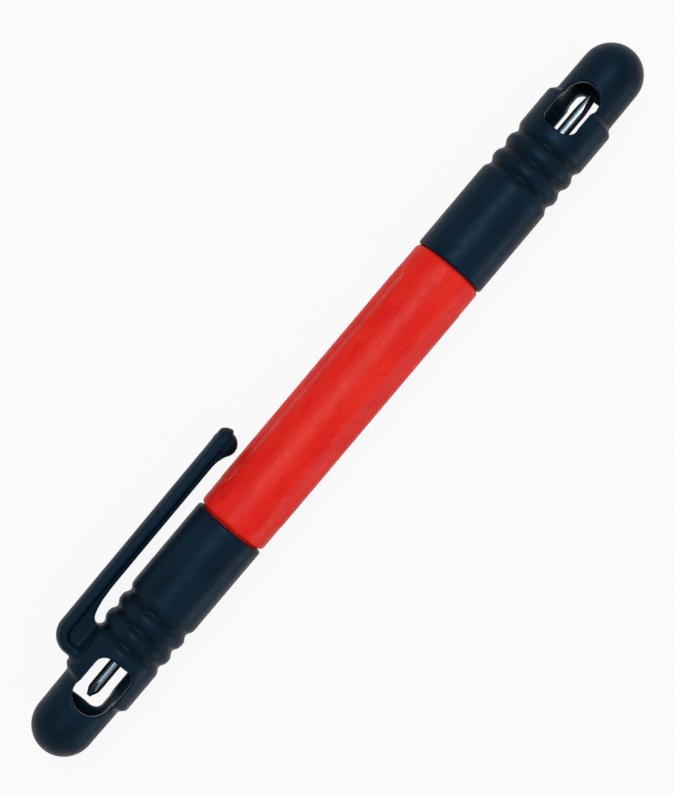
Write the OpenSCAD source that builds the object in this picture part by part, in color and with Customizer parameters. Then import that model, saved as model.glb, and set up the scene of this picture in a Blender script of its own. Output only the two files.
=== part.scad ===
// Pocket screwdriver with two push-on caps and two double-ended bits.
// The tool lies on a surface along X. The plain cap is at +X and the pocket clip points to +Y.

/* [Barrel] */
// Outside diameter of the barrel
barrel_d = 12.84; // [11.5:0.02:15]
// Length of the barrel between its two shoulders
grip_len = 55.4; // [48:0.1:80]
// Height of the shoulder from the spigot up to the barrel
shoulder_step = 1; // [0.8:0.05:1.2]
// Rounding of the barrel's edge at each shoulder
shoulder_round = 0.8; // [0.3:0.05:0.8]
// Length of each spigot that a cap pushes onto
spigot_len = 11.4; // [9.6:0.1:13]
// Rounding of the spigot's end
spigot_round = 0.5; // [0.2:0.05:0.6]
// Turn of the barrel about its axis, away from the clip's plane
barrel_turn = -11.4; // [-180:0.1:180]
// Length of the grip panel on each side of the barrel
panel_len = 45.2; // [20:0.1:46]
// Height of the grip panel across its chord
panel_h = 9.2; // [7:0.1:9.6]
// Corner radius of the grip panel
panel_round = 2; // [0.5:0.1:3]
// Slope of the flank that leads down into the grip panel
panel_flank = 26; // [22:1:30]
// Radius of the crowned pad inside the grip panel
pad_crown = 4.5; // [4:0.1:5]
// Height of the crowned pad above the barrel
pad_rise = 0.07; // [0.05:0.01:0.2]
// Thickness of the web between the two bit bores
web_t = 1; // [0.6:0.1:1.6]

/* [Spigot pocket] */
// Length of the pocket in the side of the spigot
pocket_len = 7.75; // [5:0.05:8]
// Width of the pocket round the spigot
pocket_w = 6.2; // [4:0.1:6.6]
// Distance from the pocket to the shoulder
pocket_shoulder_gap = 1.7; // [0.8:0.1:1.8]
// Distance from the tool's axis to the pocket's floor
pocket_floor = 4.3; // [4.15:0.05:4.5]
// Turn of the pocket from the front of the barrel
pocket_turn = -65; // [-75:1:-50]
// Diameter of the small blind hole at the pocket's outer corner
peg_hole_d = 1; // [0.6:0.1:1.2]
// Depth of the small blind hole
peg_hole_depth = 1.1; // [0.6:0.1:1.3]

/* [Bits] */
// Whole length of a double-ended bit
bit_len = 63; // [56:0.5:64]
// Gap between a bit's inner end and the web
bit_end_gap = 0.6; // [0.3:0.05:1.5]
// Size of the hexagon across its flats
hex_af = 5.5; // [5:0.05:5.6]
// How much is turned off the hexagon's corners
hex_corner_trim = 0.06; // [0.03:0.01:0.15]
// Length of the hexagon between the starts of its two necks
hex_len = 18.8; // [16:0.1:19]
// Radius of the hollow neck between hexagon and shank
neck_radius = 10.3; // [8:0.1:11]
// Diameter of the round shank
shank_d = 2.1; // [1.6:0.02:2.4]
// Length of the cross point's cone
point_len = 1.3; // [0.9:0.1:2.4]
// Diameter of the cross point's flat end
point_d = 0.75; // [0.4:0.05:0.9]
// Distance from the axis to a flute's floor at the cross point's end
flute_floor = 0.14; // [0.08:0.01:0.2]
// Slope of the flute's floor
flute_slope = 16; // [12:1:24]
// Thickness of the flat blade at its edge
blade_t = 0.45; // [0.3:0.05:0.8]
// Length of the flat blade's ground cheeks
blade_len = 4.3; // [3:0.1:7]

/* [Cap shell] */
// How far a cap stands proud of the barrel
cap_proud = 0.07; // [0.02:0.01:0.4]
// How far the collar is drawn in from the skirt
collar_in = 0.04; // [0:0.01:0.2]
// Rounding of the edge at the cap's mouth
mouth_round = 0.3; // [0.1:0.05:0.4]
// Lead-in chamfer inside the cap's mouth
mouth_lead_in = 0.25; // [0.1:0.05:0.4]
// Depth of each ring groove
groove_depth = 0.62; // [0.3:0.02:0.66]
// Width of each ring groove
groove_w = 2.75; // [1.6:0.05:2.9]
// Spacing of the three ring grooves
groove_pitch = 3.42; // [3:0.02:3.8]
// Height of the step from the collar down to the nose
nose_step = 0.93; // [0.6:0.01:1.2]
// How much thinner the nose is where its dome starts
nose_draft = 0.09; // [0:0.01:0.2]
// Wall of the nose round its cavity
nose_wall = 1.15; // [1:0.05:1.5]
// Corner rounding at the window's near end, as a share of its width
window_near_share = 0.29; // [0.15:0.01:0.48]
// Corner rounding at the window's far end, as a share of its width
window_far_share = 0.46; // [0.15:0.01:0.48]
// Corner rounding of the window in the cap's back wall, as a share of its width
window_back_share = 0.24; // [0.15:0.01:0.48]

/* [Plain cap] */
// Gap between the plain cap's mouth and the shoulder
plain_gap = 0.05; // [0.05:0.05:0.6]
// Room between the bit's tip and the inside of the plain cap's dome
plain_tip_room = 9.16; // [8.5:0.01:12]
// Length of the collar from the last groove's middle to the step
plain_collar = 9.47; // [9:0.01:11]
// Length of the nose from the step to its end
plain_nose = 12.6; // [11:0.05:16]
// Length of the window along the cap
plain_window_len = 9.4; // [7:0.1:10]
// Width of the window
plain_window_w = 6.2; // [4.5:0.1:7]
// Distance from the window's near end to the end of the collar
plain_window_lap = 6.35; // [4:0.05:7]
// Turn of the plain cap about its axis, away from the clip's plane
plain_turn = -22.9; // [-180:0.1:180]

/* [Clip cap] */
// Gap between the clip cap's mouth and the shoulder
clip_cap_gap = 0.25; // [0.05:0.05:0.6]
// Room between the bit's tip and the inside of the clip cap's dome
clip_tip_room = 10.34; // [9:0.01:12]
// Length of the collar from the last groove's middle to the step
clip_collar = 9.75; // [9.2:0.01:11]
// Length of the nose from the step to its end
clip_nose = 12.75; // [11:0.05:16]
// Length of the window along the cap
clip_window_len = 10; // [7:0.1:11]
// Width of the window
clip_window_w = 6.85; // [4.5:0.05:7]
// Distance from the window's near end to the end of the collar
clip_window_lap = 6.75; // [4:0.05:7.2]
// Turn of the window about the cap's axis, out of the clip's plane
clip_window_turn = 2.3; // [-8:0.1:8]

/* [Clip] */
// Width of the clip's strap
strap_w = 4.6; // [3.6:0.1:6]
// Thickness of the strap at its crown
strap_t = 2; // [1.4:0.05:2.4]
// Radius of the strap's crown across its width
strap_crown = 3.9; // [3.4:0.1:8]
// Outer radius of the bend at the clip's root
bend_radius = 3.8; // [3:0.1:5]
// How far the middle of the tip's rounding stands above the strap's half width
tip_lift = 0.35; // [0:0.05:0.6]
// Gap between the skirt and the rib under the strap
clip_gap = 2; // [1.6:0.05:3]
// Depth of the rib under the strap
rib_depth = 0.95; // [0.6:0.05:1.4]
// Width of the rib
rib_w = 2.3; // [1.6:0.1:3]
// Reach of the clip from the outside of its root to its tip
clip_reach = 45.7; // [36:0.1:50]
// Distance from the clip's root to the end of the collar
root_setback = 1.8; // [1.2:0.05:2]
// Length of the web that fills the root under the strap
web_run = 7; // [5.5:0.05:8]
// Length over which the web's underside runs out into the rib
web_flare = 8; // [4:0.1:12]
// How square the hollow is where the web's underside runs down to the skirt
web_hollow = 2.5; // [1.6:0.1:4]
// Rise of the strap towards its tip
clip_rise = 0.35; // [0:0.05:1]
// Radius of the ball under the clip's tip
ball_r = 2.2; // [1.4:0.05:2.4]
// Depth of the ball below the rib
ball_drop = 1.35; // [0.6:0.05:1.45]
// Distance from the ball's middle to the clip's tip
ball_setback = 2.7; // [2.3:0.05:3.2]
// Length over which the rib runs down to the ball
ball_flare = 4.2; // [2.5:0.1:6]

/* [Fits] */
// Clearance of a cap on its spigot, each side
cap_fit = 0.05; // [0.02:0.01:0.1]
// Clearance of a bit in its hexagonal socket, each side
socket_fit = 0.06; // [0.02:0.01:0.1]
// Clearance of a bit's end and neck inside the barrel
bore_fit = 0.3; // [0.2:0.05:0.5]

/* [Hidden] */
$fn = 96;
overrun = 1;

barrel_r = barrel_d / 2;
spigot_r = barrel_r - shoulder_step;
shoulder_x = grip_len / 2;
spigot_end = shoulder_x + spigot_len;
pad_middle = barrel_r + pad_rise - pad_crown;
panel_lap = 0.2;

shank_r = shank_d / 2;
hex_turned_r = hex_af / 2 / cos(30) - hex_corner_trim;
neck_rise = hex_turned_r - shank_r;
neck_len = sqrt(neck_radius * neck_radius - pow(neck_radius - neck_rise, 2));
bit_mid = web_t / 2 + bit_end_gap + bit_len / 2;
bit_tip = bit_mid + bit_len / 2;

socket_af = hex_af + 2 * socket_fit;
socket_corner_r = socket_af / 2 / cos(30);
socket_floor = bit_mid - hex_len / 2 - neck_at(hex_af / 2);
throat_run_share = 0.36;
throat_x = socket_floor - neck_len * throat_run_share;
throat_r = neck_r(bit_mid - hex_len / 2 - throat_x) + bore_fit / 2;

cap_r = barrel_r + cap_proud;
cap_bore_r = spigot_r + cap_fit;
collar_r = cap_r - collar_in;
nose_r = collar_r - nose_step;
dome_r = nose_r - nose_draft;
cavity_r = dome_r - nose_wall;
groove_steps = 12;

clip_mouth = shoulder_x + clip_cap_gap;
plain_mouth = shoulder_x + plain_gap;
clip_len = bit_tip + clip_tip_room + nose_wall - clip_mouth;
plain_len = bit_tip + plain_tip_room + nose_wall - plain_mouth;
clip_skirt = clip_len - clip_nose - clip_collar - 2 * groove_pitch;
plain_skirt = plain_len - plain_nose - plain_collar - 2 * groove_pitch;

rib_under = cap_r + clip_gap;
strap_under = rib_under + rib_depth;
strap_top = strap_under + strap_t;
bend_inner = bend_radius - strap_t;
bend_y = strap_top - bend_radius;
root_x = clip_skirt + 2 * groove_pitch + clip_collar - root_setback;
root_foot = (collar_r + cap_bore_r) / 2;
arm_len = clip_reach - bend_radius - strap_w / 2;
tip_top = bend_y + arm_len * sin(clip_rise) + bend_radius * cos(clip_rise);
flare_steps = 12;

rest_z = cap_r;
rest_y = (cap_r - tip_top) / 2;
rest_x = (clip_mouth + clip_len - plain_mouth - plain_len) / 2;

// Radius of a bit's hollow neck at a distance from the end of its hexagon
function neck_r(from_hex) = shank_r + neck_radius
    - sqrt(pow(neck_radius, 2) - pow(neck_len - from_hex, 2));

// Distance from the end of a bit's hexagon at which its hollow neck has a radius
function neck_at(r) = neck_len
    - sqrt(pow(neck_radius, 2) - pow(shank_r + neck_radius - r, 2));

// Outline of one ring groove, from the mouth's side to the nose's side
function groove(middle, r) = [
    for (i = [0:groove_steps])
        let (along = i / groove_steps - 1 / 2)
            [r - groove_depth * (1 + cos(360 * along)) / 2, middle + groove_w * along]
];

// The tool's own axis is X through the origin. This lays it on the surface below it.
module laid_down() {
    translate([rest_x, rest_y, rest_z]) children();
}

// Turns an outline of radius and length into a solid of revolution about X
module turned() {
    rotate([0, 90, 0]) rotate_extrude() children();
}

// A window's outline, which runs along X from zero, with its own corner radius at each end
module window_outline(length, width, near, far) {
    translate([near, -width / 2]) square([length - near - far, width]);
    translate([0, near - width / 2]) square([length / 2, width - 2 * near]);
    translate([length / 2, far - width / 2]) square([length / 2, width - 2 * far]);
    for (side = [-1, 1]) {
        translate([near, side * (width / 2 - near)]) circle(r = near);
        translate([length - far, side * (width / 2 - far)]) circle(r = far);
    }
}

module rounded_plate(length, height, radius) {
    square([length - 2 * radius, height], center = true);
    square([length, height - 2 * radius], center = true);
    for (x = [-1, 1], y = [-1, 1])
        translate([x * (length / 2 - radius), y * (height / 2 - radius)]) circle(r = radius);
}

// Barrel

module grip_outline() {
    edge = min(shoulder_round, shoulder_step);
    translate([0, -shoulder_x]) square([barrel_r - edge, grip_len]);
    translate([0, edge - shoulder_x]) square([barrel_r, grip_len - 2 * edge]);
    for (side = [-1, 1])
        translate([barrel_r - edge, side * (shoulder_x - edge)]) circle(r = edge);
}

module spigot_outline() {
    square([spigot_r - spigot_round, spigot_end]);
    square([spigot_r, spigot_end - spigot_round]);
    translate([spigot_r - spigot_round, spigot_end - spigot_round]) circle(r = spigot_round);
}

// A cross-section carried along the barrel at +Y and held inside the outline of the grip panel
module in_panel() {
    intersection() {
        rotate([90, 0, 90]) linear_extrude(panel_len + overrun, center = true) children();
        rotate([90, 0, 0]) translate([0, 0, -barrel_d])
            linear_extrude(barrel_d)
                rounded_plate(panel_len, panel_h + 2 * panel_lap, panel_round + panel_lap);
    }
}

// What lies outside the two flanks of the grip panel
module beyond_flanks() {
    edge_y = sqrt(pow(barrel_r, 2) - pow(panel_h / 2, 2));
    polygon([
        [edge_y - overrun * tan(panel_flank), panel_h / 2 + overrun],
        [edge_y + panel_h / 2 * tan(panel_flank), 0],
        [edge_y - overrun * tan(panel_flank), -panel_h / 2 - overrun],
        [barrel_d, -panel_h / 2 - overrun],
        [barrel_d, panel_h / 2 + overrun]
    ]);
}

// The body between the shoulders, with a crowned pad in a shallow panel on each side
module grip() {
    difference() {
        turned() grip_outline();
        for (side = [0, 1]) mirror([0, side, 0]) in_panel() beyond_flanks();
    }
    for (side = [0, 1]) mirror([0, side, 0]) in_panel() translate([pad_middle, 0]) circle(r = pad_crown);
}

// The flat pocket in the spigot's side and the small blind hole at its outer corner
module spigot_pocket() {
    pocket_x = shoulder_x + pocket_shoulder_gap;
    rotate([pocket_turn, 0, 0])
        translate([pocket_x, -pocket_w / 2, pocket_floor]) cube([pocket_len, pocket_w, barrel_r]);
    hole_turn = pocket_turn + asin((pocket_w - peg_hole_d / 2) / 2 / spigot_r);
    rotate([hole_turn, 0, 0])
        translate([pocket_x + pocket_len - peg_hole_d / 2, 0, spigot_r - peg_hole_depth])
            cylinder(d = peg_hole_d, h = barrel_r);
}

// The hexagonal socket, the throat that the bit's neck stops on, and the bore for its inner end
module bit_socket() {
    rotate([0, 90, 0]) {
        rotate([0, 0, 30]) translate([0, 0, socket_floor])
            cylinder(r = socket_corner_r, h = spigot_end - socket_floor + overrun, $fn = 6);
        translate([0, 0, throat_x])
            cylinder(r1 = throat_r, r2 = socket_af / 2, h = socket_floor - throat_x);
        translate([0, 0, web_t / 2]) cylinder(r = throat_r, h = socket_floor - web_t / 2);
    }
}

module barrel() {
    color("firebrick") laid_down() rotate([barrel_turn, 0, 0]) difference() {
        union() {
            grip();
            for (side = [0, 1]) mirror([side, 0, 0]) turned() spigot_outline();
        }
        for (side = [0, 1]) mirror([side, 0, 0]) {
            spigot_pocket();
            bit_socket();
        }
    }
}

// Bits

// Half of the turned form, from the bit's middle out to the neck's end
module neck_outline() {
    square([hex_turned_r, hex_len / 2]);
    translate([0, hex_len / 2]) difference() {
        square([hex_turned_r, neck_len]);
        translate([shank_r + neck_radius, neck_len]) circle(r = neck_radius);
    }
}

module cross_point_outline() {
    square([shank_r, bit_len / 2 - point_len]);
    translate([0, bit_len / 2 - point_len])
        polygon([[0, 0], [shank_r, 0], [point_d / 2, point_len], [0, point_len]]);
}

module flutes() {
    flute_run = point_len + shank_d * 2;
    for (quarter = [0:3])
        rotate([90 * quarter, 0, 0])
            translate([bit_len / 2, 0, flute_floor])
                rotate([0, flute_slope, 0]) rotate([45, 0, 0])
                    translate([-flute_run, 0, 0]) cube([flute_run + overrun, shank_d, shank_d]);
}

// What is ground off the two cheeks of the flat blade
module blade_cheeks() {
    slope = (shank_r - blade_t / 2) / blade_len;
    for (side = [0, 1])
        mirror([0, 0, side]) rotate([90, 0, 0])
            linear_extrude(2 * shank_d, center = true)
                translate([bit_len / 2, blade_t / 2])
                    polygon([
                        [-blade_len - overrun, (blade_len + overrun) * slope],
                        [overrun, -overrun * slope],
                        [overrun, shank_d],
                        [-blade_len - overrun, shank_d]
                    ]);
}

// A double-ended bit about its own middle, with the cross point at +X and the flat blade at -X
module double_bit() {
    intersection() {
        rotate([0, 90, 0]) rotate([0, 0, 30])
            cylinder(d = hex_af / cos(30), h = bit_len, center = true, $fn = 6);
        for (side = [0, 1]) mirror([side, 0, 0]) turned() neck_outline();
    }
    difference() {
        turned() cross_point_outline();
        flutes();
    }
    mirror([1, 0, 0]) difference() {
        turned() square([shank_r, bit_len / 2]);
        blade_cheeks();
    }
}

module plain_end_bit() {
    color("lightslategray") laid_down() translate([bit_mid, 0, 0])
        rotate([barrel_turn + 60, 0, 0]) mirror([1, 0, 0]) double_bit();
}

module clip_end_bit() {
    color("lightslategray") laid_down() translate([-bit_mid, 0, 0])
        rotate([barrel_turn, 0, 0]) mirror([1, 0, 0]) double_bit();
}

// Caps, each along +X from its mouth at zero

module cap_outline(skirt, collar, nose) {
    last_groove = skirt + 2 * groove_pitch;
    step_x = last_groove + collar;
    dome_x = step_x + nose - dome_r;
    polygon(concat(
        [[0, 0], [cap_r - mouth_round, 0], [cap_r, mouth_round]],
        groove(skirt, cap_r),
        groove(skirt + groove_pitch, collar_r),
        groove(last_groove, collar_r),
        [
            [collar_r, step_x - nose_step],
            [nose_r, step_x],
            [dome_r, dome_x],
            [0, dome_x]
        ]
    ));
    translate([cap_r - mouth_round, mouth_round]) circle(r = mouth_round);
    intersection() {
        translate([0, dome_x]) circle(r = dome_r);
        translate([0, dome_x - dome_r]) square([dome_r, 2 * dome_r]);
    }
}

module cap_cavity_outline(skirt, collar, nose) {
    bore_end = skirt + 2 * groove_pitch + collar - 2 * nose_step;
    cavity_x = bore_end + 2 * nose_step + nose - dome_r;
    translate([0, -overrun]) square([cap_bore_r, bore_end + overrun]);
    polygon([
        [0, -overrun],
        [cap_bore_r + mouth_lead_in + overrun, -overrun],
        [cap_bore_r, mouth_lead_in],
        [0, mouth_lead_in]
    ]);
    polygon([
        [0, bore_end],
        [cap_bore_r, bore_end],
        [cavity_r, bore_end + cap_bore_r - cavity_r],
        [cavity_r, cavity_x],
        [0, cavity_x]
    ]);
    intersection() {
        translate([0, cavity_x]) circle(r = cavity_r);
        translate([0, cavity_x - cavity_r]) square([cavity_r, 2 * cavity_r]);
    }
}

// The see-through window, cut square through both walls of the cap, with tighter corners at the back
module cap_window(collar_end, lap, length, width) {
    back_round = width * window_back_share;
    translate([collar_end - lap, 0, 0]) {
        linear_extrude(barrel_d)
            window_outline(length, width, width * window_near_share, width * window_far_share);
        translate([0, 0, -barrel_d])
            linear_extrude(barrel_d) window_outline(length, width, back_round, back_round);
    }
}

module plain_cap() {
    collar_end = plain_skirt + 2 * groove_pitch + plain_collar;
    color("darkslategray") laid_down() translate([plain_mouth, 0, 0])
        rotate([plain_turn, 0, 0]) difference() {
            turned() cap_outline(plain_skirt, plain_collar, plain_nose);
            turned() cap_cavity_outline(plain_skirt, plain_collar, plain_nose);
            cap_window(collar_end, plain_window_lap, plain_window_len, plain_window_w);
        }
}

// Cross-section of the strap: x is the distance from the bend's centre, y runs across the strap
module strap_section() {
    intersection() {
        translate([bend_inner, -strap_w / 2]) square([strap_t, strap_w]);
        translate([bend_inner + strap_t - strap_crown, 0]) circle(r = strap_crown);
    }
}

// A straight stretch of strap along +X, with its crown towards +Y
module strap_run(length) {
    rotate([90, 0, 0]) rotate([0, 90, 0]) linear_extrude(length) strap_section();
}

// The strap from its foot on the collar, round the bend and out to its round tip.
// Here the cap's mouth is towards +X and the bend's centre is at the origin.
module strap() {
    translate([0, root_foot - bend_y, 0]) rotate([0, 0, 90]) strap_run(bend_y - root_foot);
    rotate([0, 0, 90 + clip_rise]) rotate_extrude(angle = 90 - clip_rise) strap_section();
    rotate([0, 0, clip_rise]) {
        strap_run(arm_len);
        intersection() {
            translate([arm_len, 0, 0]) strap_run(strap_w / 2);
            translate([arm_len, bend_radius - strap_w / 2 + tip_lift, 0]) sphere(d = strap_w);
        }
    }
}

// Side outline of the web and rib under the strap, from the foot to the ball
module rib_outline() {
    under = rib_under - bend_y;
    gap_x = web_run - bend_radius;
    ball_x = clip_reach - bend_radius - ball_setback;
    polygon(concat(
        [[-bend_inner - strap_t / 2, root_foot - bend_y], [gap_x, root_foot - bend_y]],
        [
            for (i = [0:flare_steps])
                let (turn = 90 * i / flare_steps)
                    [
                        gap_x + web_flare * (1 - pow(cos(turn), 2 / web_hollow)),
                        under - clip_gap * (1 - pow(sin(turn), 2 / web_hollow))
                    ]
        ],
        [
            for (i = [0:flare_steps])
                let (run = i / flare_steps)
                    [ball_x - ball_flare * (1 - run), under - ball_drop * (1 - cos(90 * run))]
        ],
        [[ball_x, strap_under - bend_y + strap_t / 2], [-bend_inner - strap_t / 2, bend_inner]]
    ));
}

module clip() {
    translate([root_x - bend_radius, bend_y, 0]) mirror([1, 0, 0]) {
        strap();
        rotate([0, 0, clip_rise]) translate([0, 0, -rib_w / 2]) linear_extrude(rib_w) rib_outline();
        rotate([0, 0, clip_rise])
            translate([
                clip_reach - bend_radius - ball_setback,
                rib_under - bend_y - ball_drop + ball_r,
                0
            ])
                sphere(r = ball_r);
    }
}

module clip_cap() {
    collar_end = clip_skirt + 2 * groove_pitch + clip_collar;
    color("darkslategray") laid_down() translate([-clip_mouth, 0, 0]) mirror([1, 0, 0]) {
        difference() {
            turned() cap_outline(clip_skirt, clip_collar, clip_nose);
            turned() cap_cavity_outline(clip_skirt, clip_collar, clip_nose);
            rotate([clip_window_turn, 0, 0])
                cap_window(collar_end, clip_window_lap, clip_window_len, clip_window_w);
        }
        clip();
    }
}

barrel();
plain_cap();
clip_cap();
plain_end_bit();
clip_end_bit();
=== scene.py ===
import math

import bpy
from mathutils import Matrix, Quaternion, Vector


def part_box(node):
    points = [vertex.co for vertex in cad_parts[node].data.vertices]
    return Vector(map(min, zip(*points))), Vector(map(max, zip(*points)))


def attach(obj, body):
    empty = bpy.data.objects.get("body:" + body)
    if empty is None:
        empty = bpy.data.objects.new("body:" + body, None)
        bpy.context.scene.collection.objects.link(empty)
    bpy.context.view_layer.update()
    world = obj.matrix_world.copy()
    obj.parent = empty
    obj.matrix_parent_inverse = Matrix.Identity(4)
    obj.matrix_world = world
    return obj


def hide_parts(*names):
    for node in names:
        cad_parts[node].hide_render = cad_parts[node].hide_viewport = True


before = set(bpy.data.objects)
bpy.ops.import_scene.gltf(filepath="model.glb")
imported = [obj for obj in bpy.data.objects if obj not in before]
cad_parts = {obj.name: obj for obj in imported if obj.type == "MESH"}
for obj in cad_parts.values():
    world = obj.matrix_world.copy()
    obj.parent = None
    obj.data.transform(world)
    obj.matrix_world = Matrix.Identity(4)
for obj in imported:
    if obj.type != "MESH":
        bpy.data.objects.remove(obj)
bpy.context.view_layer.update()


# Studio floor. A sheet of pale matt board under the tool. The lamps light it as they light the tool, and it
# keeps the tool's soft shadow. To the camera, in reflections and through glass it is mostly plain white.
floor_side = 1.6
board_pale = (0.65, 0.65, 0.65, 1.0)
white_share = 0.9


def seen_plainly(tree):
    """1 for a ray from the camera, in a reflection or through glass, and 0 for one that carries light."""
    ray = tree.nodes.new("ShaderNodeLightPath")
    seen = ray.outputs["Is Camera Ray"]
    for kind in ("Is Glossy Ray", "Is Transmission Ray"):
        either = tree.nodes.new("ShaderNodeMath")
        either.operation = "MAXIMUM"
        tree.links.new(seen, either.inputs[0])
        tree.links.new(ray.outputs[kind], either.inputs[1])
        seen = either.outputs[0]
    return seen


bpy.ops.object.select_all(action="DESELECT")
bpy.ops.mesh.primitive_plane_add(size=floor_side, location=(0.0, 0.0, 0.0))
floor = bpy.context.object
floor.name = "studio_floor"
board = bpy.data.materials.new("pale_matt_board")
board.use_nodes = True
nodes, links = board.node_tree.nodes, board.node_tree.links
nodes.clear()
lit_board = nodes.new("ShaderNodeBsdfDiffuse")
lit_board.inputs["Color"].default_value = board_pale
plain_white = nodes.new("ShaderNodeEmission")
share = nodes.new("ShaderNodeMath")
share.operation = "MULTIPLY"
share.inputs[1].default_value = white_share
blend = nodes.new("ShaderNodeMixShader")
out = nodes.new("ShaderNodeOutputMaterial")
links.new(seen_plainly(board.node_tree), share.inputs[0])
links.new(share.outputs[0], blend.inputs["Fac"])
links.new(lit_board.outputs["BSDF"], blend.inputs[1])
links.new(plain_white.outputs["Emission"], blend.inputs[2])
links.new(blend.outputs["Shader"], out.inputs["Surface"])
floor.data.materials.append(board)


# Studio light. The tool lies in a soft white tent, which gives a part of the light. A broad softbox hangs
# over the clip's side, close to the camera, and a long low box on the other side lights that flank. Each box
# faces the tool's middle from its direction and distance, with its length along the tool.
tent_white = (1.0, 1.0, 1.0, 1.0)
tent_level = 0.32
tent_seen_level = 1.0
key_direction = (0.1, 0.28, 0.95)
key_distance = 0.7
key_size = (0.4, 0.32)
key_power = 3.0
flank_direction = (0.0, -0.98, 0.18)
flank_distance = 0.6
flank_size = (0.5, 0.14)
flank_power = 1.1

barrel_low, barrel_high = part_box("barrel")
tool_middle = (Vector(barrel_low) + Vector(barrel_high)) / 2
tool_axis = Vector((1.0, 0.0, 0.0))

world = bpy.data.worlds.new("light_tent")
world.use_nodes = True
bpy.context.scene.world = world
nodes, links = world.node_tree.nodes, world.node_tree.links
tent = nodes["Background"]
tent.inputs["Color"].default_value = tent_white
level = nodes.new("ShaderNodeMapRange")
level.inputs["To Min"].default_value = tent_level
level.inputs["To Max"].default_value = tent_seen_level
links.new(seen_plainly(world.node_tree), level.inputs["Value"])
links.new(level.outputs["Result"], tent.inputs["Strength"])


def soft_box(name, direction, distance, size, power):
    """A rectangular softbox that faces the tool's middle."""
    data = bpy.data.lights.new(name, "AREA")
    data.shape = "RECTANGLE"
    data.size, data.size_y = size
    data.energy = power
    lamp = bpy.data.objects.new(name, data)
    bpy.context.scene.collection.objects.link(lamp)
    back = Vector(direction).normalized()
    across = back.cross(tool_axis).normalized()
    along = across.cross(back)
    turn = Matrix((along, across, back)).transposed().to_4x4()
    lamp.matrix_world = Matrix.Translation(tool_middle + back * distance) @ turn


soft_box("key_softbox", key_direction, key_distance, key_size, key_power)
soft_box("side_box", flank_direction, flank_distance, flank_size, flank_power)


# Camera. It looks down on the tool from 316 mm, turned so that the tool runs from lower left to upper right
# in the picture, and leaned a little towards the clip, as the photograph was taken.
camera_distance = 0.316
lean_to_clip = math.radians(7.4)
tool_in_picture = math.radians(49.86)
frame_nudge = (-0.000391, -0.000102)
lens_length = 87.1
sensor_width = 36.0
nearest_seen = 0.01
farthest_seen = 10.0

camera_data = bpy.data.cameras.new("camera")
camera_data.lens = lens_length
camera_data.sensor_width = sensor_width
camera_data.clip_start = nearest_seen
camera_data.clip_end = farthest_seen
camera = bpy.data.objects.new("camera", camera_data)
bpy.context.scene.collection.objects.link(camera)
turn = Matrix.Rotation(-lean_to_clip, 4, "X") @ Matrix.Rotation(-tool_in_picture, 4, "Z")
seat = tool_middle + turn @ Vector((*frame_nudge, camera_distance))
camera.matrix_world = Matrix.Translation(seat) @ turn
bpy.context.scene.camera = camera
bpy.context.scene.view_settings.view_transform = "Standard"


# Barrel. One red moulding in satin nylon: the grip with a crowned pad in each side panel, and the spigots
# that the caps push onto. Every edge has the small radius that the mould gives it, and the flow of the
# plastic leaves faint clouds and streaks along it.
barrel_red = (0.79, 0.024, 0.012, 1.0)
barrel_crimson = (0.7, 0.007, 0.005, 1.0)
barrel_grain = 0.000012
barrel_roughness = 0.42
barrel_shine = 0.13
barrel_shine_tint = (1.0, 1.0, 1.0, 1.0)
barrel_skin_step = 0.00024

mesh_merge = 0.000001
radius_softness = 0.5
radius_passes = 4

flow_scale = (110.0, 260.0, 260.0)
flow_detail = 6.0
flow_roughness = 0.62
flow_ends = (0.35, 0.62)
rub_scale = (700.0, 700.0, 700.0)
rub_detail = 5.0
rub_ends = (0.3, 0.7)
rub_gloss = 0.06
rub_dulling = 0.08
pit_scale = (6500.0, 6500.0, 6500.0)
pit_detail = 3.0
pit_strength = 0.6


def moulded_copy(name, node, skin_step):
    """The node's form as it leaves the mould: the same solid with small radii on all its edges."""
    bpy.ops.object.select_all(action="DESELECT")
    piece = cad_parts[node].copy()
    piece.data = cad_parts[node].data.copy()
    piece.name = piece.data.name = name
    piece.parent = None
    bpy.context.scene.collection.objects.link(piece)
    piece.select_set(True)
    bpy.context.view_layer.objects.active = piece
    bpy.ops.object.mode_set(mode="EDIT")
    bpy.ops.mesh.select_all(action="SELECT")
    bpy.ops.mesh.remove_doubles(threshold=mesh_merge)
    bpy.ops.object.mode_set(mode="OBJECT")
    bpy.ops.mesh.customdata_custom_splitnormals_clear()
    skin = piece.modifiers.new("even_skin", "REMESH")
    skin.mode = "VOXEL"
    skin.voxel_size = skin_step
    bpy.ops.object.modifier_apply(modifier=skin.name)
    radii = piece.modifiers.new("edge_radii", "SMOOTH")
    radii.factor = radius_softness
    radii.iterations = radius_passes
    bpy.ops.object.modifier_apply(modifier=radii.name)
    bpy.ops.object.shade_smooth()
    return piece


def stretched(tree, scale):
    """Places on the piece, in its own frame, with each direction at its own scale."""
    place = tree.nodes.new("ShaderNodeTexCoord")
    along = tree.nodes.new("ShaderNodeMapping")
    along.inputs["Scale"].default_value = scale
    tree.links.new(place.outputs["Object"], along.inputs["Vector"])
    return along.outputs["Vector"]


def clouds(tree, places, detail, roughness=0.5):
    """Soft clouds over those places, one or two to a unit."""
    noise = tree.nodes.new("ShaderNodeTexNoise")
    noise.inputs["Scale"].default_value = 1.0
    noise.inputs["Detail"].default_value = detail
    noise.inputs["Roughness"].default_value = roughness
    tree.links.new(places, noise.inputs["Vector"])
    return noise.outputs["Fac"]


def two_tones(tree, pattern, ends, dark, light):
    """The colour that goes from dark to light as the pattern goes from one end to the other."""
    ramp = tree.nodes.new("ShaderNodeValToRGB")
    for stop, end, tone in zip(ramp.color_ramp.elements, ends, (dark, light)):
        stop.position = end
        stop.color = tone
    tree.links.new(pattern, ramp.inputs["Fac"])
    return ramp.outputs["Color"]


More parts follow.
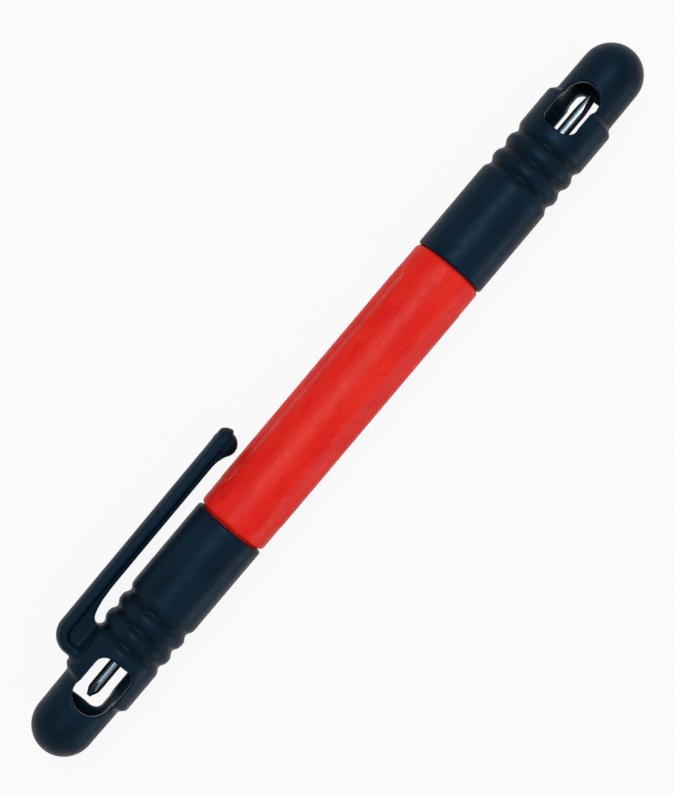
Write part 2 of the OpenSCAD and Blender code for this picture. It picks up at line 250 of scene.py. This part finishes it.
def between(tree, pattern, ends, low_value, high_value):
    """The value that goes from low to high as the pattern goes from one end to the other."""
    spread = tree.nodes.new("ShaderNodeMapRange")
    spread.inputs["From Min"].default_value, spread.inputs["From Max"].default_value = ends
    spread.inputs["To Min"].default_value = low_value
    spread.inputs["To Max"].default_value = high_value
    tree.links.new(pattern, spread.inputs["Value"])
    return spread.outputs["Result"]


def relief(tree, pattern, strength, height):
    """The fine relief that the pattern gives the surface."""
    bump = tree.nodes.new("ShaderNodeBump")
    bump.inputs["Strength"].default_value = strength
    bump.inputs["Distance"].default_value = height
    tree.links.new(pattern, bump.inputs["Height"])
    return bump.outputs["Normal"]


def moulded_plastic(name, colour, shade, grain, roughness, shine, shine_tint):
    """A moulded plastic: two close tones in clouds and streaks, rubbed and dull patches, and a fine grain."""
    made = bpy.data.materials.new(name)
    made.use_nodes = True
    tree = made.node_tree
    body = tree.nodes["Principled BSDF"]
    body.inputs["Specular IOR Level"].default_value = shine
    body.inputs["Specular Tint"].default_value = shine_tint
    flow = clouds(tree, stretched(tree, flow_scale), flow_detail, flow_roughness)
    rub = clouds(tree, stretched(tree, rub_scale), rub_detail)
    pits = clouds(tree, stretched(tree, pit_scale), pit_detail)
    dulled = between(tree, rub, rub_ends, roughness - rub_gloss, roughness + rub_dulling)
    tree.links.new(two_tones(tree, flow, flow_ends, shade, colour), body.inputs["Base Color"])
    tree.links.new(dulled, body.inputs["Roughness"])
    tree.links.new(relief(tree, pits, pit_strength, grain), body.inputs["Normal"])
    return made


barrel = moulded_copy("moulded_barrel", "barrel", barrel_skin_step)
red_nylon = moulded_plastic("red_nylon", barrel_red, barrel_crimson, barrel_grain,
                            barrel_roughness, barrel_shine, barrel_shine_tint)
barrel.data.materials.clear()
barrel.data.materials.append(red_nylon)
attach(barrel, "barrel")
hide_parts("barrel")


# Pin marks. Two tiny crescent ridges on the lower edge of the pad, where the round pins that push the barrel
# out of its mould pressed into the plastic. Each is a low ring that is tilted, so that half of it lies under
# the surface. They are part of the same moulding.
pin_mark_places = (-0.00534, 0.00756)
pin_mark_turn = math.radians(19.5)
pin_mark_radius = 0.00044
pin_mark_ridge = 0.0002
pin_mark_hinge = (-0.6, 0.8, 0.0)
pin_mark_tilt = math.radians(26.0)
pin_mark_sink = 0.0001
pin_mark_above = 0.02
ring_segments = 64
ridge_segments = 24

outward = Vector((0.0, -math.sin(pin_mark_turn), math.cos(pin_mark_turn)))
for number, place in enumerate(pin_mark_places, start=1):
    above = tool_middle + place * tool_axis + pin_mark_above * outward
    _, mark_place, facing, _ = barrel.ray_cast(above, -outward)
    bpy.ops.object.select_all(action="DESELECT")
    bpy.ops.mesh.primitive_torus_add(major_radius=pin_mark_radius, minor_radius=pin_mark_ridge,
                                     major_segments=ring_segments, minor_segments=ridge_segments,
                                     location=(0.0, 0.0, 0.0))
    mark = bpy.context.object
    mark.name = mark.data.name = "pin_mark_%d" % number
    mark.rotation_mode = "QUATERNION"
    upright = Vector((0.0, 0.0, 1.0)).rotation_difference(facing)
    mark.rotation_quaternion = upright @ Quaternion(pin_mark_hinge, pin_mark_tilt)
    mark.location = mark_place - pin_mark_sink * facing
    bpy.ops.object.transform_apply(location=True, rotation=True, scale=True)
    bpy.ops.object.shade_smooth()
    mark.data.materials.append(red_nylon)
    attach(mark, "barrel")


# Plain cap. One moulding in blue-black satin nylon that pushes onto the barrel's right spigot, with three
# ring grooves for the fingers and a window through its collar and nose. The bottoms of the grooves are
# darkened with painted shade, where shade falls in them.
cap_black = (0.0034, 0.0118, 0.024, 1.0)
cap_black_deep = (0.0016, 0.006, 0.013, 1.0)
cap_grain = 0.00002
cap_roughness = 0.38
cap_shine = 0.11
cap_shine_tint = (0.3, 0.65, 1.0, 1.0)
plain_cap_skin_step = 0.000218
plain_groove_middles = (0.04609, 0.04951, 0.05293)
# Painted shade: the dark colour mixed into the bottoms of the ring grooves, where shade falls, and how far it
# reaches from each groove's middle.
groove_painted_shade = (0.0005, 0.0018, 0.004, 1.0)
groove_shade_reach = 0.00062
grooved_radius = 0.0065


def paint_groove_shade(piece, middles):
    """The painted shade in the bottoms of the ring grooves, from 0 to 1, kept on the mesh as an attribute."""
    shade_amounts = piece.data.attributes.new("groove_painted_shade", "FLOAT", "POINT")
    for vertex, amount in zip(piece.data.vertices, shade_amounts.data):
        from_axis = math.hypot(vertex.co.y - tool_middle.y, vertex.co.z - tool_middle.z)
        nearest = min(abs(vertex.co.x - middle) for middle in middles)
        if from_axis < grooved_radius:
            amount.value = math.exp(-((nearest / groove_shade_reach) ** 2))


plain_cap = moulded_copy("moulded_plain_cap", "plain_cap", plain_cap_skin_step)
# The bottoms of this cap's ring grooves get painted shade.
paint_groove_shade(plain_cap, plain_groove_middles)
black_nylon = moulded_plastic("black_nylon", cap_black, cap_black_deep, cap_grain,
                              cap_roughness, cap_shine, cap_shine_tint)
nodes, links = black_nylon.node_tree.nodes, black_nylon.node_tree.links
surface_colour = nodes["Principled BSDF"].inputs["Base Color"]
# Painted shade: the nylon's colour is mixed towards a dark tone in the bottoms of the ring grooves.
groove_shade_place = nodes.new("ShaderNodeAttribute")
groove_shade_place.attribute_name = "groove_painted_shade"
groove_shaded = nodes.new("ShaderNodeMix")
groove_shaded.data_type = "RGBA"
# The node has sockets for other kinds of value too, and only those for colours are enabled.
amount, unshaded, shade_tone = (socket for socket in groove_shaded.inputs if socket.enabled)
mixed = next(socket for socket in groove_shaded.outputs if socket.enabled)
shade_tone.default_value = groove_painted_shade
links.new(groove_shade_place.outputs["Fac"], amount)
links.new(surface_colour.links[0].from_socket, unshaded)
links.new(mixed, surface_colour)
plain_cap.data.materials.clear()
plain_cap.data.materials.append(black_nylon)
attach(plain_cap, "plain_cap")
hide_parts("plain_cap")


# Clip cap. A moulding in the same nylon on the left spigot, with the pocket clip grown out of its collar. Its
# ring grooves get the same painted shade as the other cap's.
clip_cap_skin_step = 0.000236
clip_groove_middles = (-0.04566, -0.04908, -0.0525)

clip_cap = moulded_copy("moulded_clip_cap", "clip_cap", clip_cap_skin_step)
# The bottoms of this cap's ring grooves get painted shade.
paint_groove_shade(clip_cap, clip_groove_middles)
clip_cap.data.materials.clear()
clip_cap.data.materials.append(black_nylon)
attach(clip_cap, "clip_cap")
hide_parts("clip_cap")


# Bits. Two double-ended bits turned and ground from tool steel and plated in satin nickel, with fine marks
# round the axis. They stay the CAD nodes, whose ground edges are true.
steel_dark = (0.13, 0.18, 0.22, 1.0)
steel_light = (0.24, 0.31, 0.36, 1.0)
steel_cloud_scale = (420.0, 420.0, 420.0)
steel_cloud_detail = 4.0
steel_cloud_ends = (0.35, 0.65)
turning_scale = (9000.0, 350.0, 350.0)
turning_detail = 3.0
turning_ends = (0.0, 1.0)
turning_strength = 0.35
turning_height = 0.00001
steel_roughness = (0.26, 0.46)

bit_steel = bpy.data.materials.new("satin_nickel_steel")
bit_steel.use_nodes = True
tree = bit_steel.node_tree
body = tree.nodes["Principled BSDF"]
body.inputs["Metallic"].default_value = 1.0
cloudy = clouds(tree, stretched(tree, steel_cloud_scale), steel_cloud_detail)
turned = clouds(tree, stretched(tree, turning_scale), turning_detail)
tree.links.new(two_tones(tree, cloudy, steel_cloud_ends, steel_dark, steel_light), body.inputs["Base Color"])
tree.links.new(between(tree, turned, turning_ends, *steel_roughness), body.inputs["Roughness"])
tree.links.new(relief(tree, turned, turning_strength, turning_height), body.inputs["Normal"])
for bit in ("plain_end_bit", "clip_end_bit"):
    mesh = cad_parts[bit].data
    mesh.materials.clear()
    mesh.materials.append(bit_steel)
